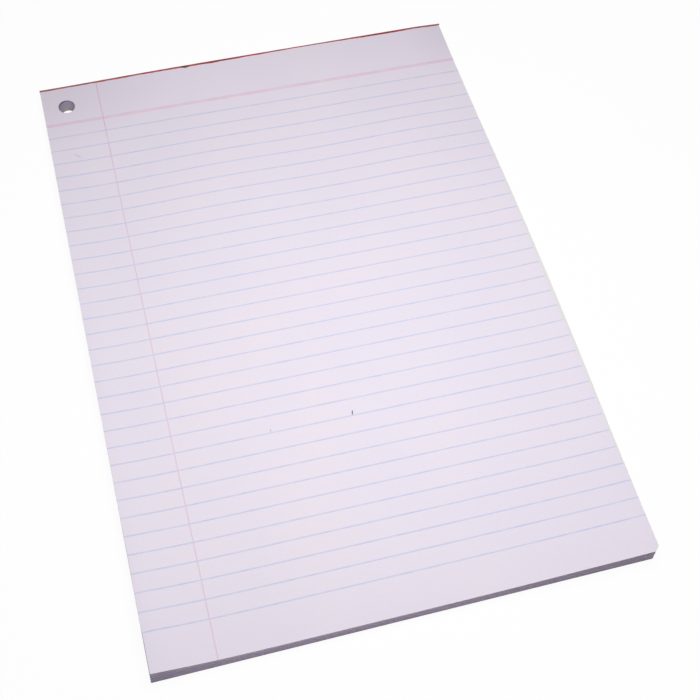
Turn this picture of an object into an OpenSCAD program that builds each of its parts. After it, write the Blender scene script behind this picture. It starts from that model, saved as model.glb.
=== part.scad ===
// Gummed exam pad: ruled sheets on a backing board, glued along the head, with one filing hole.
// Millimetres. +X runs across the sheet, +Y points to the glued head and +Z points up.
// The origin is on the backing board's underside, under the middle of the top sheet.

/* [Sheets] */
// Width of a sheet
sheet_w = 210; // [140:1:300]
// Length of a sheet from head to foot
sheet_l = 297; // [200:1:420]
// Thickness of the stack of sheets where it lies flat
stack_t = 6.2; // [3:0.1:15]
// How far the upper sheets stand out past the top sheet on the right
fan_out = 2.0; // [0:0.1:4]
// Depth below the top sheet of the sheet that stands out most
fan_depth = 0.5; // [0.2:0.1:1.5]
// Length of the corner that is missing from the fanned sheets at the foot
fan_corner = 2.0; // [0.5:0.5:6]

/* [Backing board] */
// Thickness of the board
board_t = 0.8; // [0.4:0.1:3]
// How far the board and the lowest sheets stand out past the top sheet at the foot
board_proud = 0.5; // [0:0.1:2]

/* [Filing hole] */
// Diameter of the punched hole
hole_d = 8; // [4:0.5:12]
// From the left edge to the middle of the hole
hole_from_left = 11.7; // [8:0.1:18]
// From the head edge to the middle of the hole
hole_from_head = 13.7; // [9:0.1:20]

/* [Gum binding] */
// Thickness of the gum on the head face
gum_t = 0.4; // [0.2:0.1:1.5]
// How far the gum laps over the top sheet
gum_lap = 0.8; // [0.4:0.1:3]
// Height of the gum bead above the top sheet
gum_rise = 0.25; // [0.1:0.05:1]
// Bare strip of the board's edge under the gum
gum_foot_gap = 0.2; // [0.1:0.1:0.4]

/* [Ruling] */
// Distance from one rule to the next
rule_pitch = 8; // [5:0.5:12]
// Width of a blue rule
rule_w = 0.35; // [0.2:0.05:1]
// From the head edge to the pink head rule
head_rule_from_head = 24.8; // [22:0.1:50]
// Width of the pink head rule
head_rule_w = 1.4; // [0.3:0.1:2]
// From the left edge to the pink margin rule
margin_from_left = 27.4; // [20:0.1:50]
// Width of the margin rule
margin_rule_w = 0.45; // [0.2:0.05:1]
// Least blank paper below the last rule
foot_blank = 14; // [6:1:40]
// Turn of the whole print against the sheet's edges, in degrees
print_turn = 0.31; // [0:0.01:0.5]
// Thickness of the printed ink
ink_t = 0.05; // [0.03:0.01:0.1]

/* [Handled paper] */
// Height of the ripples across the sheet below the head
ripple_h = 0.55; // [0:0.05:1.5]
// Length of one ripple across the sheet
ripple_wave = 101; // [60:1:200]
// From the left edge to the crest of the first ripple
ripple_crest = 77; // [0:1:200]
// Length of the rippled zone from the head rule towards the foot
ripple_reach = 104; // [40:1:160]
// Height that the long edges curl up
curl_h = 0.85; // [0:0.05:2]
// Distance over which the curl fades away from the edge
curl_reach = 10; // [5:1:30]
// Height that the foot's left corner is lifted
left_corner_h = 3; // [0:0.1:5]
// Reach of the lifted left corner across the sheet
left_corner_w = 24; // [8:1:60]
// Reach of the lifted left corner up the sheet
left_corner_l = 62; // [8:1:80]
// Height that the foot's right corner is lifted
right_corner_h = 2.8; // [0:0.1:5]
// Reach of the lifted right corner across the sheet
right_corner_w = 52; // [8:1:60]
// Reach of the lifted right corner up the sheet
right_corner_l = 38; // [8:1:80]

/* [Hidden] */

hole_facets = 96;
cut_margin = 1;
bead_steps = 8;
fan_sweep = 150;
fan_sharpness = 1.5;

stack_top = board_t + stack_t;
turn_slope = tan(print_turn);
rule_count = floor((sheet_l - foot_blank - head_rule_from_head) / rule_pitch);

// Distance of a rule from the head, where rule 0 is the head rule and the blue ones follow it.
function rule_y(k) = head_rule_from_head + k * rule_pitch;
bands_from = rule_y(-0.5);
ripple_from = bands_from + turn_slope * sheet_w / 2;

// Rows of the top sheet's grid, as [distance from the head, share of the print's turn].
// The rules lie in bands between rows that are parallel to them.
rules_per_band = 2;
last_band = floor(rule_count / rules_per_band);
head_rows = [[0, 0], [gum_lap, 0]];
band_rows = [for (b = [0 : last_band]) [rule_y(b * rules_per_band - 0.5), 1]];
foot_rows = [[rule_y(rule_count + 0.5), 1], [sheet_l - fan_corner, 0], [sheet_l, 0]];
rows = concat(head_rows, band_rows, foot_rows);
last_row = len(rows) - 1;
lap_row = 1;
first_band_row = len(head_rows);

// Columns of the grid: some left of the margin rule, its two edges, and the rest to the right.
// They crowd towards both long edges, where the paper curls.
left_cols = 3;
right_cols = 11;
left_crowding = 1.4;
right_crowding = 1.2;
last_col = left_cols + 1 + right_cols;

function margin_x(y) = margin_from_left - turn_slope * (y - sheet_l / 2);
function left_x(i, y) = (margin_x(y) - margin_rule_w / 2) * pow(i / left_cols, left_crowding);
function right_share(i) = 1 - pow(1 - (i - left_cols - 1) / right_cols, right_crowding);
function right_x(i, start) = start + (sheet_w - start) * right_share(i);
function col_x(i, y) =
    i <= left_cols ? left_x(i, y) : right_x(i, margin_x(y) + margin_rule_w / 2);
function row_y(j, x) = rows[j][0] + rows[j][1] * turn_slope * (x - sheet_w / 2);

// Height of the handled top sheet above the flat stack, from the left edge and the head.
function ease(t) = let (c = min(max(t, 0), 1)) c * c * (3 - 2 * c);
function bump(t) = t <= 0 || t >= 1 ? 0 : pow(sin(180 * t), 2);
function fade(d, reach) = exp(-pow(d / reach, 2));
function ripple(x, y) =
    ripple_h * bump((y - ripple_from) / ripple_reach) * cos(360 * (x - ripple_crest) / ripple_wave);
function curl(x, y) =
    curl_h * ease((y - ripple_from) / ripple_reach)
    * (fade(x, curl_reach) + fade(sheet_w - x, curl_reach));
function left_corner(x, y) =
    left_corner_h * fade(x, left_corner_w) * fade(sheet_l - y, left_corner_l);
function right_corner(x, y) =
    right_corner_h * fade(sheet_w - x, right_corner_w) * fade(sheet_l - y, right_corner_l);
function corners(x, y) =
    ease((y - ripple_from) / ripple_reach) * (left_corner(x, y) + right_corner(x, y));
function top_z(x, y) = stack_top + ripple(x, y) + curl(x, y) + corners(x, y);

// The foot face leans out from the top sheet down to the board.
function foot_y(z) = sheet_l + board_proud * (stack_top - z) / stack_t;

// How far the fanned sheets stand out on the right at a distance from the head.
function fan(y) =
    fan_out * pow(sin(fan_sweep * y / sheet_l), fan_sharpness) * min(1, (sheet_l - y) / fan_corner);

// A point measured from the left edge and the head edge, moved to the pad's frame.
function placed(x, y, z) = [x - sheet_w / 2, sheet_l / 2 - y, z];

function side_point(x, j, z) = placed(x, j == last_row ? foot_y(z) : row_y(j, x), z);
function sheet_point(i, j) =
    let (x = col_x(i, rows[j][0]), z = top_z(x, row_y(j, x)))
    side_point(x, j, z);
function fan_point(i, j) =
    let (x = col_x(i, rows[j][0]), z = top_z(x, row_y(j, x)) - fan_depth)
    side_point(i == last_col ? x + fan(rows[j][0]) : x, j, z);
function base_point(i, j) = side_point(col_x(i, rows[j][0]), j, board_t);

// A point on the two flat triangles of a grid cell, by its shares across and down the cell.
function cell_point(i, j, across, down) =
    let (
        a = sheet_point(i, j),
        b = sheet_point(i + 1, j),
        c = sheet_point(i + 1, j + 1),
        d = sheet_point(i, j + 1)
    )
    across >= down ? a + across * (b - a) + down * (c - b) : a + down * (d - a) + across * (c - d);

// The line of points where one edge of a rule crosses the sheet's facets, from column i0 to i1.
function edge_line(i0, i1, j, down) = [
    for (i = [i0 : i1 - 1])
        each [cell_point(i, j, 0, down), cell_point(i, j, down, down)],
    cell_point(i1 - 1, j, 1, down)
];

// The rim of a grid, clockwise from above, as [column, row].
function rim(cols, count_rows) = concat(
    [for (i = [0 : cols - 1]) [i, 0]],
    [for (j = [1 : count_rows - 1]) [cols - 1, j]],
    [for (i = [cols - 2 : -1 : 0]) [i, count_rows - 1]],
    [for (j = [count_rows - 2 : -1 : 1]) [0, j]]
);

// Triangles of a grid of points that starts at an index, seen from above or from below.
function grid_faces(cols, count_rows, first, up) = [
    for (j = [0 : count_rows - 2])
        for (i = [0 : cols - 2])
            let (a = first + j * cols + i, b = a + 1, c = b + cols, d = a + cols)
            each up ? [[a, b, c], [a, c, d]] : [[a, c, b], [a, d, c]]
];

// Triangles of a wall between two loops of point indices, the upper one first.
function wall_faces(upper, lower) = [
    for (k = [0 : len(upper) - 1])
        let (n = (k + 1) % len(upper))
        each [[upper[k], lower[k], lower[n]], [upper[k], lower[n], upper[n]]]
];

module sheet_stack() {
    cols = last_col + 1;
    edge = rim(cols, last_row + 1);
    count = len(edge);
    top = [for (j = [0 : last_row]) for (i = [0 : last_col]) sheet_point(i, j)];
    middle = [for (e = edge) fan_point(e[0], e[1])];
    base = [for (e = edge) base_point(e[0], e[1])];
    top_loop = [for (e = edge) e[1] * cols + e[0]];
    middle_loop = [for (k = [0 : count - 1]) len(top) + k];
    base_loop = [for (k = [0 : count - 1]) len(top) + count + k];
    base_middle = len(top) + 2 * count;
    polyhedron(
        points = concat(top, middle, base, [placed(sheet_w / 2, sheet_l / 2, board_t)]),
        faces = concat(
            grid_faces(cols, last_row + 1, 0, true),
            wall_faces(top_loop, middle_loop),
            wall_faces(middle_loop, base_loop),
            [for (k = [0 : count - 1]) [base_middle, base_loop[(k + 1) % count], base_loop[k]]]
        )
    );
}

// A field of ink that lies on a grid of points on the top sheet, with so many points to a row.
module ink_field(under, cols) {
    count_rows = len(under) / cols;
    over = [for (p = under) p + [0, 0, ink_t]];
    under_loop = [for (e = rim(cols, count_rows)) e[1] * cols + e[0]];
    over_loop = [for (k = under_loop) k + len(under)];
    polyhedron(
        points = concat(under, over),
        faces = concat(
            grid_faces(cols, count_rows, 0, false),
            grid_faces(cols, count_rows, len(under), true),
            wall_faces(over_loop, under_loop)
        )
    );
}

// A rule of a width, from one column to another, in the band of rows that it falls in.
module rule_span(k, w, i0, i1) {
    j = first_band_row + floor(k / rules_per_band);
    band_l = rows[j + 1][0] - rows[j][0];
    upper = (rule_y(k) - w / 2 - rows[j][0]) / band_l;
    lower = (rule_y(k) + w / 2 - rows[j][0]) / band_l;
    ink_field(concat(edge_line(i0, i1, j, upper), edge_line(i0, i1, j, lower)), 2 * (i1 - i0) + 1);
}

// One rule across the sheet, broken where the margin rule crosses it.
module rule_across(k, w) {
    rule_span(k, w, 0, left_cols);
    rule_span(k, w, left_cols + 1, last_col);
}

module filing_hole() {
    translate(placed(hole_from_left, hole_from_head, -cut_margin))
        cylinder(d = hole_d, h = stack_top + gum_rise + 2 * cut_margin, $fn = hole_facets);
}

module ruled_sheets() {
    color([0.89, 0.87, 0.91])
        difference() {
            sheet_stack();
            filing_hole();
        }
}

module backing_board() {
    color([0.52, 0.49, 0.47])
        difference() {
            translate(placed(0, sheet_l + board_proud, 0))
                cube([sheet_w, sheet_l + board_proud, board_t]);
            filing_hole();
        }
}

// Section of the gum: out from the head face, and up from the board's underside.
function arc_point(a, across, up) = [across * cos(a), stack_top + up * sin(a)];
gum_section = concat(
    [for (k = [0 : bead_steps]) arc_point(90 * k / bead_steps, gum_t, gum_rise)],
    [for (k = [1 : bead_steps]) arc_point(90 + 90 * k / bead_steps, gum_lap, gum_rise)],
    [[0, stack_top], [0, gum_foot_gap]],
    [
        for (k = [1 : bead_steps])
            let (a = 90 * k / bead_steps)
            [gum_t * sin(a), gum_foot_gap + gum_t * (1 - cos(a))]
    ]
);

module gum_binding() {
    color([0.66, 0.2, 0.2])
        translate(placed(0, 0, 0))
            rotate([90, 0, 90])
                linear_extrude(sheet_w)
                    polygon(gum_section);
}

module blue_rules() {
    color([0.77, 0.8, 0.91])
        for (k = [1 : rule_count])
            rule_across(k, rule_w);
}

module head_rule() {
    color([0.87, 0.77, 0.85])
        rule_across(0, head_rule_w);
}

module margin_rule() {
    color([0.88, 0.75, 0.84])
        ink_field(
            [for (j = [lap_row : last_row]) for (i = [left_cols, left_cols + 1]) sheet_point(i, j)],
            2
        );
}

ruled_sheets();
backing_board();
gum_binding();
blue_rules();
head_rule();
margin_rule();
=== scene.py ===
import math
import random

import bpy
import numpy as np
from mathutils import Euler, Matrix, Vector, noise


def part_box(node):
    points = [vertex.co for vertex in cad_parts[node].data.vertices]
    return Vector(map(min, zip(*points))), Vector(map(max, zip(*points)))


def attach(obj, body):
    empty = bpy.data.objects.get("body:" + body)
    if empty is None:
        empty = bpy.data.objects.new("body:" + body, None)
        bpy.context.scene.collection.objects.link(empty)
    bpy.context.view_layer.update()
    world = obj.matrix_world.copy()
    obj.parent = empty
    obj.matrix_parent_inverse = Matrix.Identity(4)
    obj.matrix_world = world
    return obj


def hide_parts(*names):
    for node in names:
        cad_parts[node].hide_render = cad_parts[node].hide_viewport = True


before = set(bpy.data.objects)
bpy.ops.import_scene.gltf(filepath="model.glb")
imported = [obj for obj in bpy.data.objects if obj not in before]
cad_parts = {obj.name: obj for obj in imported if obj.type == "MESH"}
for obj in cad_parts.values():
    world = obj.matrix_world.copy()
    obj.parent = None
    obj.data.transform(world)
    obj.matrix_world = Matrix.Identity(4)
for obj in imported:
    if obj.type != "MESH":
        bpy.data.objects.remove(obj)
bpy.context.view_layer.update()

# Lengths are in millimetres on the page: x runs right from the sheets' left edge, y runs down from their
# head edge, and z runs up from the board's underside. Meshes are in metres, in the frame of the CAD part.
MM = 0.001

BOARD_LOW, BOARD_HIGH = (Vector(corner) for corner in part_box("backing_board"))
GUM_LOW, GUM_HIGH = (Vector(corner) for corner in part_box("gum_binding"))

SHEET_W = round((BOARD_HIGH.x - BOARD_LOW.x) / MM, 3)
SHEET_L = 297.0
PAGE_LEFT = BOARD_LOW.x / MM
PAGE_HEAD = SHEET_L / 2
BOARD_T = round(BOARD_HIGH.z / MM, 3)
STACK_TOP = 7.0
STACK_T = STACK_TOP - BOARD_T

HOLE_X = 11.7
HOLE_Y = 13.7
HOLE_D = 8.0
HOLE_SIDES = 48

# How the handled sheets lie: ripples below the head, curled sides, lifted foot corners and fanned edges.
RIPPLE_FROM = 21.4
RIPPLE_LEN = 104.0
RIPPLE_H = 0.55
RIPPLE_WAVE = 101.0
RIPPLE_CREST_X = 77.0
CURL_H = 0.85
CURL_REACH = 10.0
LEFT_CORNER_H = 3.0
LEFT_CORNER_W = 24.0
LEFT_CORNER_L = 62.0
RIGHT_CORNER_H = 2.8
RIGHT_CORNER_W = 52.0
RIGHT_CORNER_L = 38.0
FAN_OUT = 2.3
FAN_SKEW = 1.3
FAN_DEPTH = 0.5
FAN_BEND = 4
TOP_FAN_SHARE = 0.3

# How the edges were cut: the head lies in at its ends, the left edge bows in and the foot leans out
# downwards. The higher its power, the closer to the edge such a change stays.
HEAD_IN = 0.2
HEAD_IN_LEFT = 0.8
HEAD_IN_LEFT_REACH = 45.0
HEAD_IN_RIGHT = 0.5
HEAD_IN_RIGHT_REACH = 7.0
HEAD_IN_DEPTH = 9.0
LEFT_IN = 0.12
LEFT_BOW = 0.15
LEFT_IN_FOOT = 0.25
LEFT_IN_FOOT_FROM = 200.0
LEFT_IN_FOOT_LEN = 60.0
LEFT_IN_CORNER = 0.18
LEFT_IN_CORNER_FROM = 276.0
LEFT_IN_CORNER_LEN = 8.0
LEFT_IN_POWER = 8
RIGHT_IN = 0.35
FOOT_LEAN = 0.3
FOOT_IN = 0.42
FOOT_SKEW = 0.58
FOOT_IN_LEFT = 0.2
FOOT_IN_LEFT_REACH = 14.0
FOOT_IN_POWER = 40
BENT_CORNER_FROM = 295.3
BENT_CORNER_IN = 0.25
BENT_CORNER_MORE = 1.85

# The hole's radius narrows by the taper down to the board, and the paper around it is drawn in with it, up to
# so many diameters from the hole's middle.
HOLE_TAPER = 0.5
HOLE_TAPER_REACH = 1.5

# A grid gives the cells across, the cells down and how far they crowd towards the edges.
SHEETS = 80
PITCH = STACK_T / SHEETS
PAPER_T = 0.07
UPPER_SHEETS = 10
LOWER_GRID = (14, 18, 0.85)
UPPER_GRID = (36, 48, 0.5)
TOP_CELLS_X = 84
TOP_CELLS_Y = 118
TOP_CROWDING = 0.6
BOARD_GRID = (30, 14, 0.8)
BOARD_BEVEL = 0.12

# Most sheets lie close to the next and some part more widely. Each one slips by a small turn and trim.
CLOSE_SHARE = 0.85
CLOSE_GAP = (0.6, 1.0)
WIDE_GAP = (2.0, 4.5)
SLIP_TURN = 0.00008
SLIP_TRIM = 0.06
UPPER_TRIM = 0.5

# One pass of the subdivide operator makes at most 100 cuts, so long runs are cut in two passes.
RULE_PASSES = (TOP_CELLS_X,)
MARGIN_PASSES = (TOP_CELLS_Y // 2, 2)
GUM_PASSES = (100, 3)
TICK_PASSES = (8,)

# The axes that a piece may run along, and the share of an edge's length that has to lie along one.
ACROSS = 0
DOWN = 1
ALONG_SHARE = 0.9

# The print is turned a little on the sheet.
PRINT_SLOPE = 0.00541
HEAD_RULE_Y = 24.8
HEAD_RULE_W = 1.75
RULE_PITCH = 8.0
RULES = 32
RULE_W = 0.6
MARGIN_X = 27.4
MARGIN_W = 0.45
MARGIN_FROM = 0.8
INK_RISE = 0.02
INK_T = 0.02

# Short pen strokes as x and y of both ends and the width. They thin towards their ends, which are cut blunt.
PEN_TICK = (105.3, 206.4, 104.75, 208.5, 0.48)
FAINT_TICK = (69.1, 206.8, 68.8, 208.2, 0.3)
TICK_THIN = 0.45
TICK_END = 0.05

# The gum's section on the head, and the places where it is thin, thick or has run on to the sheet in a drip.
GUM_T = GUM_HIGH.y / MM - PAGE_HEAD
GUM_LAP = 1.0
GUM_RISE = 0.25
GUM_FOOT = GUM_LOW.z / MM
GUM_FOOT_ROUND = 0.3
GUM_SHOULDER = 0.5
GUM_BROW = 0.1
GUM_SINK = 0.01
GUM_DRIP_X = 74.0
GUM_DRIP_LAP = 0.5
GUM_DRIP_REACH = 1.6
GUM_THIN_X = 138.0
GUM_THIN_REACH = 26.0
GUM_THIN_BY = 0.45
GUM_THICK_X = (92.0, 178.0)
GUM_THICK_REACH = 14.0
GUM_THICK_BY = 0.25

# Unevenness along the gum: waves per millimetre and row of the noise, and the even and uneven shares of each
# size.
LAP_WAVES = (0.11, 3.0)
LAP_RAGS = (0.45, 9.0)
RAGS_SHARE = 0.6
RISE_WAVES = (0.3, 5.0)
THICK_WAVES = (0.2, 7.0)
LAP_SHARES = (0.82, 0.28)
RISE_SHARES = (0.7, 0.3)
THICK_SHARES = (0.8, 0.2)

SMOOTH_ANGLE = math.radians(35.0)
SEED = 8

draw = random.Random(SEED)


def ease(share):
    """Smooth step of an array from 0 to 1."""
    held = np.clip(share, 0.0, 1.0)
    return held * held * (3.0 - 2.0 * held)


def bell(distance, reach):
    """1 at no distance, falling off smoothly over the reach."""
    return np.exp(-((distance / reach) ** 2))


def lift(x, y):
    """How far the top sheet stands above the flat stack."""
    along = np.clip((y - RIPPLE_FROM) / RIPPLE_LEN, 0.0, 1.0)
    waves = np.cos(2.0 * np.pi * (x - RIPPLE_CREST_X) / RIPPLE_WAVE)
    ripple = RIPPLE_H * np.sin(np.pi * along) ** 2 * waves
    curl = CURL_H * (bell(x, CURL_REACH) + bell(SHEET_W - x, CURL_REACH))
    left = LEFT_CORNER_H * bell(x, LEFT_CORNER_W) * bell(SHEET_L - y, LEFT_CORNER_L)
    right = RIGHT_CORNER_H * bell(SHEET_W - x, RIGHT_CORNER_W) * bell(SHEET_L - y, RIGHT_CORNER_L)
    return ripple + ease(along) * (curl + left + right)


def fan(y):
    """How far the upper sheets are pushed out to the right."""
    held = np.clip(y / SHEET_L, 0.0, 1.0)
    return FAN_OUT * np.sin(np.pi * held ** FAN_SKEW)


def fan_share(depth):
    """Share of the fan at a depth below the top sheet."""
    if depth < FAN_DEPTH:
        return TOP_FAN_SHARE + (1.0 - TOP_FAN_SHARE) * depth / FAN_DEPTH
    return 1.0 - (depth - FAN_DEPTH) / (STACK_T - FAN_DEPTH)


def head_in(x):
    """How far the cut head edge lies in from a square one."""
    left = HEAD_IN_LEFT * bell(x, HEAD_IN_LEFT_REACH)
    right = HEAD_IN_RIGHT * bell(SHEET_W - x, HEAD_IN_RIGHT_REACH)
    return HEAD_IN + left + right


def foot_in(x):
    """How far the foot edge of the top sheet is drawn back, most at the lifted left corner."""
    return FOOT_IN - FOOT_SKEW * x / SHEET_W + FOOT_IN_LEFT * np.exp(-x / FOOT_IN_LEFT_REACH)


def left_in(y, share):
    """How far the left edge lies in from a straight one: bowed, and more so at the lifted corner."""
    bow = LEFT_BOW * np.sin(np.pi * np.clip(y / SHEET_L, 0.0, 1.0))
    foot = LEFT_IN_FOOT * ease((y - LEFT_IN_FOOT_FROM) / LEFT_IN_FOOT_LEN)
    corner = LEFT_IN_CORNER * ease((y - LEFT_IN_CORNER_FROM) / LEFT_IN_CORNER_LEN) * share ** 3
    return (LEFT_IN + bow + foot) * share + corner


def right_out(y, depth, share):
    """How far the right edge lies out: fanned in the middle, drawn in at the bent foot corner."""
    bent = np.clip((y - BENT_CORNER_FROM) / (SHEET_L - BENT_CORNER_FROM), 0.0, 1.0)
    corner = (BENT_CORNER_IN + BENT_CORNER_MORE * share) * bent
    return fan(y) * fan_share(depth) - RIGHT_IN - corner


def narrowed_hole(x, y, depth):
    """Draws in the rim of the hole, which the punch leaves a little narrower lower down."""
    from_x = x - HOLE_X
    from_y = y - HOLE_Y
    gap = np.maximum(np.hypot(from_x, from_y), HOLE_D / 4)
    near = np.clip(HOLE_TAPER_REACH - gap / HOLE_D, 0.0, 1.0)
    kept = 1.0 - HOLE_TAPER * depth / STACK_T * near / gap
    return HOLE_X + from_x * kept, HOLE_Y + from_y * kept


def laid(x, y, depth, share):
    """Where the points of a flat sheet come to lie on the page, by its depth and its share of the lift."""
    x, y = narrowed_hole(x, y, depth)
    down = np.clip(y / SHEET_L, 0.0, 1.0)
    at_left = np.clip(1.0 - x / SHEET_W, 0.0, 1.0) ** LEFT_IN_POWER
    at_right = np.clip(x / SHEET_W, 0.0, 1.0) ** FAN_BEND
    at_head = np.clip(1.0 - y / HEAD_IN_DEPTH, 0.0, 1.0) ** 2
    at_foot = down ** FOOT_IN_POWER * share ** 2
    lean = FOOT_LEAN * depth / STACK_T * down
    laid_x = x + left_in(y, share) * at_left + right_out(y, depth, share) * at_right
    return laid_x, y + head_in(x) * at_head - foot_in(x) * at_foot + lean


def deselect_all():
    if bpy.context.object and bpy.context.object.mode != "OBJECT":
        bpy.ops.object.mode_set(mode="OBJECT")
    bpy.ops.object.select_all(action="DESELECT")


def make_active(piece):
    deselect_all()
    piece.select_set(True)
    bpy.context.view_layer.objects.active = piece


def rename(piece, name):
    piece.name = name
    piece.data.name = name
    return piece


def named(name):
    """Names the piece that an operator has just made."""
    return rename(bpy.context.object, name)


def page_points(piece):
    """The piece's vertices as columns of page millimetres."""
    flat = np.empty(len(piece.data.vertices) * 3)
    piece.data.vertices.foreach_get("co", flat)
    points = flat.reshape(-1, 3) / MM
    return points[:, 0] - PAGE_LEFT, PAGE_HEAD - points[:, 1], points[:, 2]


def set_page_points(piece, x, y, z):
    points = np.column_stack((x + PAGE_LEFT, PAGE_HEAD - y, z)) * MM
    piece.data.vertices.foreach_set("co", points.ravel())
    piece.data.update()


def page_place(x, y, z):
    return Vector(((x + PAGE_LEFT) * MM, (PAGE_HEAD - y) * MM, z * MM))


def apply_modifier(piece, kind, **settings):
    make_active(piece)
    modifier = piece.modifiers.new(kind.lower(), kind)
    for name, value in settings.items():
        setattr(modifier, name, value)
    bpy.ops.object.modifier_apply(modifier=modifier.name)


def apply_place(piece):
    make_active(piece)
    bpy.ops.object.transform_apply(location=True, rotation=True, scale=True)


def join(pieces, name):
    deselect_all()
    for piece in pieces:
        piece.select_set(True)
    bpy.context.view_layer.objects.active = pieces[0]
    bpy.ops.object.join()
    return named(name)


def copy_of(piece):
    twin = piece.copy()
    twin.data = piece.data.copy()
    bpy.context.collection.objects.link(twin)
    return twin


def punch_hole(piece):
    """Cuts the filing hole through a flat piece."""
    deselect_all()
    bpy.ops.mesh.primitive_cylinder_add(
        vertices=HOLE_SIDES,
        radius=HOLE_D / 2 * MM,
        depth=4 * STACK_TOP * MM,
        location=page_place(HOLE_X, HOLE_Y, 0.0),
    )
    punch = named("punch")
    apply_modifier(piece, "BOOLEAN", operation="DIFFERENCE", object=punch, solver="EXACT")
    bpy.data.objects.remove(punch)


def recalculate_normals(piece):
    make_active(piece)
    bpy.ops.object.mode_set(mode="EDIT")
    bpy.ops.mesh.select_all(action="SELECT")
    bpy.ops.mesh.normals_make_consistent(inside=False)
    bpy.ops.object.mode_set(mode="OBJECT")


def cut_across(piece, axis, passes):
    """Cuts a piece across its run along an axis; each pass cuts every length into that many shorter ones."""
    make_active(piece)
    for lengths in passes:
        bpy.ops.object.mode_set(mode="EDIT")
        bpy.ops.mesh.select_mode(type="EDGE")
        bpy.ops.mesh.select_all(action="DESELECT")
        bpy.ops.object.mode_set(mode="OBJECT")
        for edge in piece.data.edges:
            first, second = (piece.data.vertices[index].co for index in edge.vertices)
            run = second - first
            edge.select = abs(run[axis]) > ALONG_SHARE * run.length
        bpy.ops.object.mode_set(mode="EDIT")
        bpy.ops.mesh.subdivide(number_cuts=lengths - 1)
        bpy.ops.object.mode_set(mode="OBJECT")


def crowd(position, length, amount):
    """Moves evenly spaced places towards both ends of a length."""
    share = position / length
    return length * (share - amount * np.sin(2.0 * np.pi * share) / (2.0 * np.pi))


def flat_sheet(cells_x, cells_y, crowding, thick):
    """One flat punched sheet, its underside at z = 0."""
    deselect_all()
    bpy.ops.mesh.primitive_grid_add(
        x_subdivisions=cells_x, y_subdivisions=cells_y, size=1.0,
        location=page_place(SHEET_W / 2, SHEET_L / 2, thick),
    )
    sheet = named("sheet")
    sheet.scale = (SHEET_W * MM, SHEET_L * MM, 1.0)
    apply_place(sheet)
    x, y, z = page_points(sheet)
    set_page_points(sheet, crowd(x, SHEET_W, crowding), crowd(y, SHEET_L, crowding), z)
    apply_modifier(sheet, "SOLIDIFY", thickness=thick * MM, offset=-1.0)
    punch_hole(sheet)
    return sheet


def lay_sheet(sheet, level, share, turn=0.0, trim=0.0):
    """Lays a flat sheet in the stack at a level, with its share of the lift and its own small slip."""
    x, y, z = page_points(sheet)
    depth = max(0.0, STACK_TOP - level - PITCH)
    height = z + level + lift(x, y) * share
    laid_x, laid_y = laid(x, y, depth, share)
    slipped_y = laid_y + trim * y / SHEET_L - turn * (x - SHEET_W / 2)
    set_page_points(sheet, laid_x + turn * y, slipped_y, height)


def lift_shares():
    """Share of the lift that each sheet takes: even steps, with some wider gaps where the sheets part."""
    gaps = []
    for _ in range(SHEETS):
        bounds = CLOSE_GAP if draw.random() < CLOSE_SHARE else WIDE_GAP
        gaps.append(draw.uniform(*bounds))
    total = sum(gaps)
    shares = []
    reached = 0.0
    for gap in gaps:
        reached += gap / total
        shares.append(reached)
    return shares


def build_sheets():
    """The stack of single sheets: the lower ones, the fanned upper ones and the finely laid top one."""
    shares = lift_shares()
    coarse = flat_sheet(*LOWER_GRID, PAPER_T)
    fine = flat_sheet(*UPPER_GRID, PAPER_T)
    lower = []
    upper = []
    for index in range(SHEETS - 1):
        is_upper = index >= SHEETS - 1 - UPPER_SHEETS
        sheet = copy_of(fine if is_upper else coarse)
        turn = draw.gauss(0.0, SLIP_TURN)
        trim = draw.gauss(0.0, SLIP_TRIM)
        if is_upper:
            trim = -UPPER_TRIM * abs(trim)
        lay_sheet(sheet, BOARD_T + index * PITCH, shares[index], turn, trim)
        if is_upper:
            upper.append(sheet)
        else:
            lower.append(sheet)
    bpy.data.objects.remove(coarse)
    bpy.data.objects.remove(fine)
    loose = join(lower, "loose_sheets")
    top_few = join(upper, "upper_sheets")
    top = flat_sheet(TOP_CELLS_X, TOP_CELLS_Y, TOP_CROWDING, PAPER_T)
    lay_sheet(top, STACK_TOP - PITCH, 1.0)
    return loose, top_few, rename(top, "top_sheet")


def surface_z(x, y):
    """Height of the top sheet's face."""
    return STACK_TOP - PITCH + PAPER_T + lift(x, y)


def flat_strip(x0, x1, y0, y1, passes, axis):
    """A flat strip on the page, cut across along an axis so that it can follow the sheet."""
    deselect_all()
    bpy.ops.mesh.primitive_plane_add(size=1.0, location=page_place((x0 + x1) / 2, (y0 + y1) / 2, 0.0))
    strip = named("strip")
    strip.scale = ((x1 - x0) * MM, (y1 - y0) * MM, 1.0)
    apply_place(strip)
    cut_across(strip, axis, passes)
    return strip


def print_on_sheet(strip, rise):
    """Lays a flat strip of print on the top sheet and gives it the thickness of ink."""
    x, y, z = page_points(strip)
    laid_x, laid_y = laid(x, y, 0.0, 1.0)
    set_page_points(strip, laid_x, laid_y, surface_z(x, y) + rise)
    apply_modifier(strip, "SOLIDIFY", thickness=INK_T * MM, offset=-1.0)
    recalculate_normals(strip)


def turn_across(strip):
    """Gives a rule across the sheet the columns of the top sheet and the slope of the print."""
    x, y, z = page_points(strip)
    spread = crowd(x, SHEET_W, TOP_CROWDING)
    set_page_points(strip, spread, y + PRINT_SLOPE * (spread - SHEET_W / 2), z)


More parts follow.
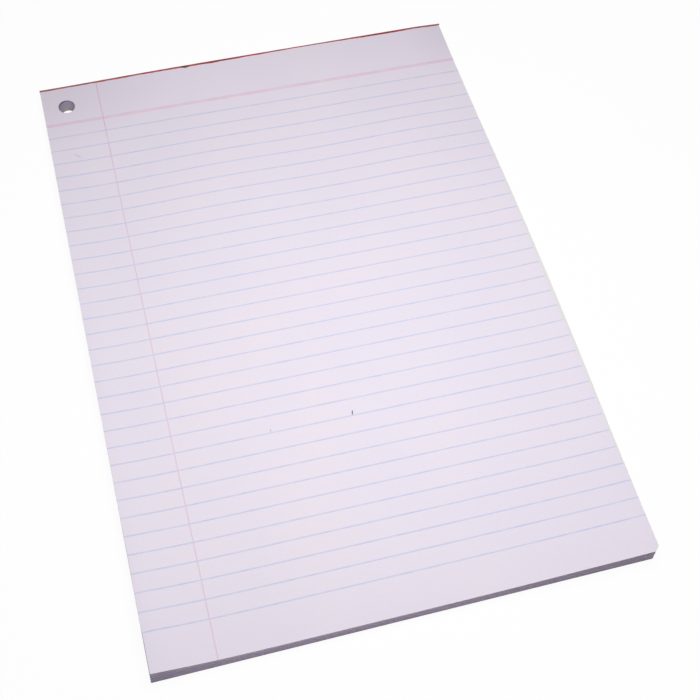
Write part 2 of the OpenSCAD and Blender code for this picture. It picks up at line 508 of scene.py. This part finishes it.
def build_rules():
    """The blue rules, as copies of one flat strip at the pitch of the print."""
    first = flat_strip(0.0, SHEET_W, -RULE_W / 2, RULE_W / 2, RULE_PASSES, ACROSS)
    strips = []
    for index in range(1, RULES + 1):
        strip = copy_of(first)
        x, y, z = page_points(strip)
        set_page_points(strip, x, y + HEAD_RULE_Y + RULE_PITCH * index, z)
        strips.append(strip)
    bpy.data.objects.remove(first)
    rules = join(strips, "feint_rules")
    turn_across(rules)
    print_on_sheet(rules, INK_RISE)
    return rules


def build_head_rule():
    """The wide pink rule, with the columns and the slope of the blue ones."""
    upper = HEAD_RULE_Y - HEAD_RULE_W / 2
    lower = HEAD_RULE_Y + HEAD_RULE_W / 2
    rule = flat_strip(0.0, SHEET_W, upper, lower, RULE_PASSES, ACROSS)
    turn_across(rule)
    print_on_sheet(rule, INK_RISE)
    return rename(rule, "wide_head_rule")


def build_margin():
    """The margin rule, which takes the rows of the top sheet from the gum to the foot."""
    left = MARGIN_X - MARGIN_W / 2
    right = MARGIN_X + MARGIN_W / 2
    rule = flat_strip(left, right, MARGIN_FROM, SHEET_L, MARGIN_PASSES, DOWN)
    x, y, z = page_points(rule)
    rows = crowd(y, SHEET_L, TOP_CROWDING)
    stretch = (SHEET_L - MARGIN_FROM) / (rows.max() - rows.min())
    spread = MARGIN_FROM + (rows - rows.min()) * stretch
    set_page_points(rule, x - PRINT_SLOPE * (spread - SHEET_L / 2), spread, z)
    print_on_sheet(rule, INK_RISE + INK_T / 2)
    return rename(rule, "pink_margin")


def build_tick(name, x0, y0, x1, y1, width):
    """A short stroke of a pen on the sheet, thin at both ends."""
    length = math.hypot(x1 - x0, y1 - y0)
    stroke = flat_strip(-width / 2, width / 2, 0.0, length, TICK_PASSES, DOWN)
    x, y, z = page_points(stroke)
    taper = TICK_THIN + (1.0 - TICK_THIN) * np.sin(np.pi * np.clip(y / length, TICK_END, 1.0 - TICK_END))
    along_x = (x1 - x0) / length
    along_y = (y1 - y0) / length
    across = x * taper
    set_page_points(stroke, x0 + along_x * y + along_y * across, y0 + along_y * y - along_x * across, z)
    print_on_sheet(stroke, INK_RISE)
    return rename(stroke, name)


def gum_section(lap, rise, thick):
    """Section of the gum, as (out from the head face, z) points of a closed loop."""
    top = STACK_TOP
    return [
        (0.0, GUM_FOOT),
        (0.8 * thick, GUM_FOOT),
        (thick, GUM_FOOT + GUM_FOOT_ROUND),
        (thick, 0.35 * top),
        (thick, 0.62 * top),
        (thick, top - GUM_SHOULDER),
        (0.92 * thick, top - GUM_BROW),
        (0.6 * thick, top + 0.6 * rise),
        (0.1 * thick, top + 0.95 * rise),
        (-0.3 * lap, top + rise),
        (-0.65 * lap, top + 0.72 * rise),
        (-0.9 * lap, top + 0.35 * rise),
        (-lap, top - GUM_SINK),
        (0.0, top - GUM_SINK),
    ]


def lump(x, scale, row):
    """Smooth uneven values along the gum, from -1 to 1."""
    return noise.noise(Vector((x * scale, row, 0.0)))


def uneven(shares, value):
    """A size's factor from its even share and its uneven one."""
    even_share, uneven_share = shares
    return even_share + uneven_share * value


def gum_section_at(x):
    """The gum's section at a place along the head: wavering, thin and thick in stretches, with one drip."""
    waver = lump(x, *LAP_WAVES) + RAGS_SHARE * lump(x, *LAP_RAGS)
    spread = 1.0 - GUM_THIN_BY * bell(x - GUM_THIN_X, GUM_THIN_REACH)
    for thick_x in GUM_THICK_X:
        spread += GUM_THICK_BY * bell(x - thick_x, GUM_THICK_REACH)
    drip = GUM_DRIP_LAP * bell(x - GUM_DRIP_X, GUM_DRIP_REACH)
    lap = GUM_LAP * uneven(LAP_SHARES, waver) * spread + drip
    rise = GUM_RISE * uneven(RISE_SHARES, lump(x, *RISE_WAVES))
    thick = GUM_T * uneven(THICK_SHARES, lump(x, *THICK_WAVES))
    return gum_section(lap, rise, thick), lap


def build_gum():
    """The brushed gum: a round bar along the head, cut across and then given its wavering section."""
    points = len(gum_section(1.0, 1.0, 1.0))
    centre = page_place(SHEET_W / 2, 0.0, STACK_TOP / 2)
    deselect_all()
    bpy.ops.mesh.primitive_cylinder_add(
        vertices=points, radius=MM, depth=SHEET_W * MM, end_fill_type="NGON",
        location=centre, rotation=(0.0, math.pi / 2, 0.0),
    )
    gum = named("padding_gum")
    apply_place(gum)
    cut_across(gum, ACROSS, GUM_PASSES)
    angles = [math.atan2(vertex.co.z - centre.z, vertex.co.y - centre.y) for vertex in gum.data.vertices]
    first_angle = min(angles)
    step = 2.0 * math.pi / points
    lapped = gum.data.attributes.new("lapped", "FLOAT", "POINT")
    for vertex, angle in zip(gum.data.vertices, angles):
        x = vertex.co.x / MM - PAGE_LEFT
        section, lap = gum_section_at(x)
        out, z = section[round((angle - first_angle) / step) % points]
        vertex.co = page_place(x, head_in(x) - out, z)
        lapped.data[vertex.index].value = min(1.0, max(0.0, -out / lap))
    gum.data.update()
    recalculate_normals(gum)
    return gum


def build_board():
    """The stiff board, trimmed with the lowest sheet and a little rounded along its edges."""
    board = flat_sheet(*BOARD_GRID, BOARD_T)
    x, y, z = page_points(board)
    laid_x, laid_y = laid(x, y, STACK_T, 0.0)
    set_page_points(board, laid_x, laid_y, z)
    apply_modifier(board, "BEVEL", width=BOARD_BEVEL * MM, segments=2, limit_method="ANGLE")
    return rename(board, "stiff_board")


class Signal:
    """An output of a finish's nodes. Sums on it add Math nodes."""

    def __init__(self, finish, socket):
        self.finish = finish
        self.socket = socket

    def math(self, operation, first, second):
        return self.finish.node("ShaderNodeMath", {"operation": operation}, {0: first, 1: second})

    def __add__(self, other):
        return self.math("ADD", self, other)

    def __radd__(self, other):
        return self.math("ADD", other, self)

    def __sub__(self, other):
        return self.math("SUBTRACT", self, other)

    def __rsub__(self, other):
        return self.math("SUBTRACT", other, self)

    def __mul__(self, other):
        return self.math("MULTIPLY", self, other)

    def __rmul__(self, other):
        return self.math("MULTIPLY", other, self)


class Finish:
    """The nodes of a material or of the world."""

    def __init__(self, owner):
        self.owner = owner
        owner.use_nodes = True
        self.tree = owner.node_tree
        self.tree.nodes.clear()

    def node(self, kind, settings=None, sockets=None, out=0):
        """Makes a node: its settings first, then the values or links of its sockets."""
        made = self.tree.nodes.new(kind)
        for name, value in (settings or {}).items():
            setattr(made, name, value)
        for key, value in (sockets or {}).items():
            if isinstance(value, Signal):
                self.tree.links.new(value.socket, made.inputs[key])
            else:
                made.inputs[key].default_value = value
        return Signal(self, made.outputs[out]) if made.outputs else made

    def place(self):
        return self.node("ShaderNodeTexCoord", out="Object")

    def grain(self, scale, detail=3.0, stretch=(1.0, 1.0, 1.0)):
        """Noise from 0 to 1 on the piece's own place; the scale is in waves per metre."""
        mapped = self.node("ShaderNodeMapping", sockets={"Vector": self.place(), "Scale": stretch})
        return self.node("ShaderNodeTexNoise", sockets={"Vector": mapped, "Scale": scale, "Detail": detail})

    def between(self, value, low, high):
        """Value stretched so that low gives 0 and high gives 1, and held there."""
        return self.node(
            "ShaderNodeMapRange", {"clamp": True},
            {"Value": value, "From Min": low, "From Max": high, "To Min": 0.0, "To Max": 1.0},
        )

    def mark(self, x, y, length, width, turn, core, height=1.0 / MM):
        """1 on a short straight mark on the page, which fades from its core to nothing at its edge."""
        mapped = self.node(
            "ShaderNodeMapping", {"vector_type": "TEXTURE"},
            {
                "Vector": self.place(),
                "Location": page_place(x, y, STACK_TOP),
                "Rotation": (0.0, 0.0, turn),
                "Scale": (length / 2 * MM, width / 2 * MM, height / 2 * MM),
            },
        )
        gap = self.node("ShaderNodeVectorMath", {"operation": "LENGTH"}, {0: mapped}, out="Value")
        return self.between(gap, 1.0, core)

    def across_page(self):
        """Page x in millimetres."""
        side = self.node("ShaderNodeSeparateXYZ", sockets={"Vector": self.place()}, out="X")
        return side * (1.0 / MM) - PAGE_LEFT

    def down_page(self):
        """Page y in millimetres."""
        up = self.node("ShaderNodeSeparateXYZ", sockets={"Vector": self.place()}, out="Y")
        return PAGE_HEAD - up * (1.0 / MM)

    def blend(self, share, first, second):
        """A colour between two colours."""
        return self.node("ShaderNodeMix", {"data_type": "RGBA"}, {0: share, 6: first, 7: second}, out=2)

    def bump(self, height, distance):
        return self.node("ShaderNodeBump", sockets={"Height": height, "Distance": distance * MM})

    def direct_view(self):
        """1 for rays from the camera, a mirror or a glass, 0 for light that bounces on."""
        shown = self.node("ShaderNodeLightPath", out="Is Camera Ray")
        for kind in ("Is Glossy Ray", "Is Transmission Ray"):
            other = self.node("ShaderNodeLightPath", out=kind)
            shown = self.node("ShaderNodeMath", {"operation": "MAXIMUM"}, {0: shown, 1: other})
        return shown

    def cover(self, colour, roughness, normal=None, **constants):
        sockets = {"Base Color": colour, "Roughness": roughness}
        for name, value in constants.items():
            sockets[name.replace("_", " ")] = value
        if normal is not None:
            sockets["Normal"] = normal
        shader = self.node("ShaderNodeBsdfPrincipled", sockets=sockets)
        self.node("ShaderNodeOutputMaterial", sockets={"Surface": shader})
        return self.owner


def new_finish(name):
    return Finish(bpy.data.materials.new(name))


def rgb(red, green, blue):
    """A linear colour from its 0 to 255 screen values."""
    def linear(level):
        share = level / 255.0
        if share <= 0.04045:
            return share / 12.92
        return ((share + 0.055) / 1.055) ** 2.4
    return (linear(red), linear(green), linear(blue), 1.0)


# Noises are given by their waves per metre, their detail and, for some, how they are drawn out. Marks are in
# millimetres, and a share says how strongly a colour covers the one below.
PAPER_CLOUDS = (22.0, 3.0)
PAPER_FIBRES = (1400.0, 4.0)
FIBRE_SHARE = 0.5
PAPER_RIM = 0.3
# Painted shade: a dark grey-violet rim around the punched hole, weakest on its right and deepest on its left.
HOLE_RIM_SHADE = rgb(92, 92, 116)
RIM_SHADE_RIGHT = 0.1
RIM_SHADE_LEFT = 1.6
FANNED_FROM = 204.0
FANNED_TO = 207.0

# Painted shade: this grey darkens the paper and its print towards the two head corners; it also colours the
# scuff.
SCUFF_AND_SHADE_GREY = rgb(150, 144, 160)
HEAD_SHADE_SHARE = 0.12
HEAD_SHADE_LEFT_W = 130.0
HEAD_SHADE_RIGHT_W = 44.0
HEAD_SHADE_L = 80.0
HEAD_SHADE_CORE = 0.2
SCUFF = (12.4, 45.1, 6.6, 1.9, math.radians(-42.0), 0.1)
SCUFF_SHARE = 0.22

INK_RUNS = (160.0, 3.0)
INK_DOTS = (2600.0, 2.0)
INK_FADE = 0.75
PEN_WEAR = (1500.0, 2.0)

GUM_BRUSHED = (90.0, 4.0, (1.0, 3.0, 3.0))
GUM_LUMPS = (700.0, 3.0)
GUM_RIDGE_SHADED_BROWNS = (rgb(112, 66, 68), rgb(134, 70, 72))
GUM_LAP_REDS = (rgb(168, 60, 68), rgb(196, 70, 80))
GUM_DEEP_RED = rgb(142, 34, 40)
GUM_DEEP_SHARE = 0.75
GUM_DEEP_Y = 0.5
GUM_DEEP_W = 2.4 * GUM_THICK_REACH
GUM_DEEP_L = 8.0
GUM_DEEP_H = 5.0
GUM_MARK_CORE = 0.3
GUM_FADED_RED = rgb(164, 116, 118)
GUM_FADED_SHARE = 0.45
GUM_FADED_LEFT = (60.0, 25.0)
GUM_FADED_RIGHT = (188.0, 200.0)
GUM_DULL_RED = rgb(106, 58, 60)
GUM_DULL_SHARE = 0.6
GUM_DRIP_BROWN = rgb(104, 62, 50)
GUM_DRIP_Y = 0.9
GUM_DRIP_SIZE = 5.2

BOARD_PULP = (800.0, 5.0)
BOARD_FLECKS = (2200.0, 3.0, (1.0, 0.35, 1.0))
BOARD_GREYS = (rgb(136, 124, 114), rgb(158, 146, 136))
BOARD_FLECK = rgb(106, 92, 82)
BOARD_TORN = rgb(204, 148, 128)
BOARD_RIM = 0.6


def punched_rim(finish, width):
    """1 on a rim of that width around the filing hole."""
    size = HOLE_D + width
    return finish.mark(HOLE_X, HOLE_Y, size, size, 0.0, HOLE_D / size)


def painted_head_shade(finish):
    """Painted shade: faint darkening on the two head corners."""
    left_corner = finish.mark(0.0, 0.0, HEAD_SHADE_LEFT_W, HEAD_SHADE_L, 0.0, HEAD_SHADE_CORE)
    right_corner = finish.mark(SHEET_W, 0.0, HEAD_SHADE_RIGHT_W, HEAD_SHADE_L, 0.0, HEAD_SHADE_CORE)
    return (left_corner + right_corner) * HEAD_SHADE_SHARE


def writing_paper(name, first, second, fibre, rim_shade, fanned=None):
    """Matt paper with faint clouds and fibres, a scuff, painted shade on the two head corners, and painted
    shade on a rim around the punched hole.

    The painted shade of the rim is deepest on the left of the hole. Sheets that are fanned out take another
    colour along their right edge.
    """
    finish = new_finish(name)
    across = finish.across_page()
    clouds = finish.grain(*PAPER_CLOUDS)
    fibres = finish.grain(*PAPER_FIBRES)
    shade = finish.blend(finish.between(clouds, 0.35, 0.65), first, second)
    speckled = finish.blend(finish.between(fibres, 0.3, 0.7) * FIBRE_SHARE, shade, fibre)
    scuff = finish.mark(*SCUFF) * SCUFF_SHARE
    # The scuff, and painted shade on the two head corners.
    scuffed_and_shaded = finish.blend(scuff + painted_head_shade(finish), speckled, SCUFF_AND_SHADE_GREY)
    # Painted shade on a rim around the hole, deepest on its left.
    to_left = finish.between(across, HOLE_X + HOLE_D / 2, HOLE_X - HOLE_D / 2)
    punched = punched_rim(finish, PAPER_RIM) * rim_shade * (RIM_SHADE_RIGHT + RIM_SHADE_LEFT * to_left)
    colour = finish.blend(punched, scuffed_and_shaded, HOLE_RIM_SHADE)
    if fanned:
        colour = finish.blend(finish.between(across, FANNED_FROM, FANNED_TO), colour, fanned)
    roughness = 0.8 + fibres * 0.15
    return finish.cover(colour, roughness, finish.bump(fibres, 0.03), Specular_IOR_Level=0.25)


def printed_ink(name, deep, thin, fade_over=0.0):
    """Ink in uneven runs and dots; it may turn thin over a length down the page."""
    finish = new_finish(name)
    runs = finish.grain(*INK_RUNS)
    dots = finish.grain(*INK_DOTS)
    density = finish.between(runs * 0.6 + dots * 0.4, 0.36, 0.64)
    if fade_over:
        density = density * (1.0 - INK_FADE * finish.between(finish.down_page(), 0.0, fade_over))
    # Painted shade: the print darkens with the paper towards the head corners.
    colour = finish.blend(painted_head_shade(finish), finish.blend(density, thin, deep), SCUFF_AND_SHADE_GREY)
    roughness = 0.75 + dots * 0.15
    return finish.cover(colour, roughness, finish.bump(dots, 0.005), Specular_IOR_Level=0.25)


def pen_ink(name, dark, worn):
    """Pen ink, worn in spots."""
    finish = new_finish(name)
    wear = finish.between(finish.grain(*PEN_WEAR), 0.35, 0.7)
    return finish.cover(finish.blend(wear, dark, worn), 0.5 + wear * 0.2, Specular_IOR_Level=0.3)


def red_gum():
    """Brushed gum: darker brown on the ridge, its darkness partly painted shade of the far side, and red
    where it laps over the sheet.

    The red is deep where the gum is thick, and faded at both ends of the head, and the drip has dried brown.
    """
    finish = new_finish("red_gum")
    brushed = finish.between(finish.grain(*GUM_BRUSHED), 0.42, 0.62)
    lumps = finish.grain(*GUM_LUMPS)
    lapped = finish.node("ShaderNodeAttribute", {"attribute_name": "lapped"}, out="Fac")
    # The ridge's browns are darker partly as painted shade of the gum's far side.
    ridge = finish.blend(brushed, *GUM_RIDGE_SHADED_BROWNS)
    lap = finish.blend(brushed, *GUM_LAP_REDS)
    red = finish.blend(finish.between(lapped, 0.05, 0.5), ridge, lap)
    for thick_x in GUM_THICK_X:
        thick = finish.mark(thick_x, GUM_DEEP_Y, GUM_DEEP_W, GUM_DEEP_L, 0.0, GUM_MARK_CORE, GUM_DEEP_H)
        red = finish.blend(thick * GUM_DEEP_SHARE, red, GUM_DEEP_RED)
    across = finish.across_page()
    ends = finish.between(across, *GUM_FADED_LEFT) + finish.between(across, *GUM_FADED_RIGHT)
    faded = finish.blend(ends * GUM_FADED_SHARE, red, GUM_FADED_RED)
    dulled = finish.blend(finish.between(lumps, 0.5, 0.75) * GUM_DULL_SHARE, faded, GUM_DULL_RED)
    drip = finish.mark(GUM_DRIP_X, GUM_DRIP_Y, GUM_DRIP_SIZE, GUM_DRIP_SIZE, 0.0, GUM_MARK_CORE)
    colour = finish.blend(drip, dulled, GUM_DRIP_BROWN)
    roughness = 0.42 + lumps * 0.25
    return finish.cover(colour, roughness, finish.bump(lumps, 0.06), Specular_IOR_Level=0.4)


def grey_board():
    """Rough greyboard with dark flecks, paler where the punch has torn it."""
    finish = new_finish("grey_board")
    pulp = finish.grain(*BOARD_PULP)
    flecks = finish.grain(*BOARD_FLECKS)
    grey = finish.blend(finish.between(pulp, 0.3, 0.7), *BOARD_GREYS)
    flecked = finish.blend(finish.between(flecks, 0.56, 0.7), grey, BOARD_FLECK)
    colour = finish.blend(punched_rim(finish, BOARD_RIM), flecked, BOARD_TORN)
    roughness = 0.85 + flecks * 0.1
    rough = finish.bump(pulp * 0.5 + flecks * 0.5, 0.05)
    return finish.cover(colour, roughness, rough, Specular_IOR_Level=0.2)


def dress(piece, material, slot, *nodes):
    """Gives a piece its finish and its place in the part."""
    piece.data.materials.clear()
    piece.data.materials.append(material)
    make_active(piece)
    bpy.ops.object.shade_smooth_by_angle(angle=SMOOTH_ANGLE)
    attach(piece, "root")
    if nodes:
        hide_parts(*nodes)


def build_pad():
    """Builds every piece and gives it its finish and the nodes that it replaces."""
    paper = writing_paper(
        "writing_paper", rgb(237, 229, 239), rgb(234, 227, 240), rgb(241, 235, 242), rim_shade=0.36,
    )
    edge_paper = writing_paper(
        "fanned_paper", rgb(240, 224, 232), rgb(238, 222, 232), rgb(242, 230, 236), rim_shade=0.8,
        fanned=rgb(231, 230, 228),
    )
    blue = printed_ink("feint_ink", rgb(203, 209, 236), rgb(220, 221, 240))
    head_pink = printed_ink("head_rule_ink", rgb(234, 207, 226), rgb(237, 218, 234))
    margin_pink = printed_ink("margin_ink", rgb(226, 175, 204), rgb(229, 210, 227), fade_over=60.0)
    loose, top_few, top = build_sheets()
    dress(loose, paper, "sheet_paper", "ruled_sheets")
    dress(top_few, edge_paper, "sheet_paper")
    dress(top, paper, "sheet_paper")
    dress(build_rules(), blue, "blue_ink", "blue_rules")
    dress(build_head_rule(), head_pink, "pink_ink", "head_rule")
    dress(build_margin(), margin_pink, "pink_ink", "margin_rule")
    dress(build_gum(), red_gum(), "red_gum", "gum_binding")
    dress(build_board(), grey_board(), "grey_board", "backing_board")
    dark_pen = pen_ink("pen_ink", rgb(72, 72, 84), rgb(112, 108, 122))
    faint_pen = pen_ink("faint_pen_ink", rgb(178, 172, 186), rgb(204, 198, 210))
    dress(build_tick("pen_tick", *PEN_TICK), dark_pen, "blue_ink")
    dress(build_tick("faint_pen_tick", *FAINT_TICK), faint_pen, "blue_ink")


# The stage. The sizes of floor and lamp and the nearest distance seen are in metres, the turns in degrees.
FLOOR_SIZE = 6.0
FLOOR_GAP = 0.05
FLOOR_WHITE = 0.95
FLOOR_GREY = (0.64, 0.63, 0.75, 1.0)
WORLD_LIGHT = 0.21
WORLD_TINT = (1.0, 0.94, 1.04, 1.0)
WHITE = (1.0, 1.0, 1.0, 1.0)
LAMP_POWER = 1.38
LAMP_SIZE = 0.2
LAMP_PLACE = (124.0, 190.0, 407.0)
SENSOR_W = 36.0
FOCAL_LEN = 57.487
LENS_SHIFT_X = 0.0696
LENS_SHIFT_Y = 0.0011
NEAREST_SEEN = 0.01
CAMERA_PLACE = Vector((-86.07, -246.64, 442.48)) * MM
CAMERA_TURNS = (28.1183, -1.993, -14.295)


def build_floor():
    """White where the camera sees it, with a soft shadow, and a plain grey for the light it gives back."""
    deselect_all()
    bpy.ops.mesh.primitive_plane_add(size=FLOOR_SIZE, location=(0.0, 0.0, -FLOOR_GAP * MM))
    floor = named("floor")
    finish = new_finish("white_floor")
    glow = finish.node("ShaderNodeEmission", sockets={"Color": WHITE, "Strength": 1.0})
    white = finish.node("ShaderNodeBsdfDiffuse", sockets={"Color": WHITE})
    grey = finish.node("ShaderNodeBsdfDiffuse", sockets={"Color": FLOOR_GREY})
    bright = finish.node("ShaderNodeMixShader", sockets={0: FLOOR_WHITE, 1: white, 2: glow})
    surface = finish.node("ShaderNodeMixShader", sockets={0: finish.direct_view(), 1: grey, 2: bright})
    finish.node("ShaderNodeOutputMaterial", sockets={"Surface": surface})
    floor.data.materials.append(finish.owner)


def light_world():
    """A soft even light that shows as white."""
    finish = Finish(bpy.data.worlds.new("studio"))
    soft = finish.node("ShaderNodeBackground", sockets={"Color": WORLD_TINT, "Strength": WORLD_LIGHT})
    white = finish.node("ShaderNodeBackground", sockets={"Color": WHITE, "Strength": 1.0})
    mix = finish.node("ShaderNodeMixShader", sockets={0: finish.direct_view(), 1: soft, 2: white})
    finish.node("ShaderNodeOutputWorld", sockets={"Surface": mix})
    bpy.context.scene.world = finish.owner


def add_lamp(name, power, size, x, y, z):
    """A soft square lamp above a place on the page, turned to the middle of the pad."""
    lamp = bpy.data.lights.new(name, "AREA")
    lamp.energy = power
    lamp.size = size
    holder = bpy.data.objects.new(name, lamp)
    holder.location = page_place(x, y, z)
    aim = page_place(SHEET_W / 2, SHEET_L / 2, STACK_TOP) - holder.location
    holder.rotation_euler = aim.to_track_quat("-Z", "Y").to_euler()
    holder.visible_camera = False
    bpy.context.collection.objects.link(holder)


def set_camera():
    """The photograph's view: its picture was cut out of a wider one, so the lens is shifted to the side."""
    lens = bpy.data.cameras.new("camera")
    lens.sensor_fit = "HORIZONTAL"
    lens.sensor_width = SENSOR_W
    lens.lens = FOCAL_LEN
    lens.shift_x = LENS_SHIFT_X
    lens.shift_y = LENS_SHIFT_Y
    lens.clip_start = NEAREST_SEEN
    camera = bpy.data.objects.new("camera", lens)
    camera.location = CAMERA_PLACE
    camera.rotation_euler = Euler([math.radians(turn) for turn in CAMERA_TURNS])
    bpy.context.collection.objects.link(camera)
    bpy.context.scene.camera = camera


build_pad()
build_floor()
light_world()
add_lamp("overhead_lamp", LAMP_POWER, LAMP_SIZE, *LAMP_PLACE)
set_camera()
bpy.context.scene.view_settings.view_transform = "Standard"
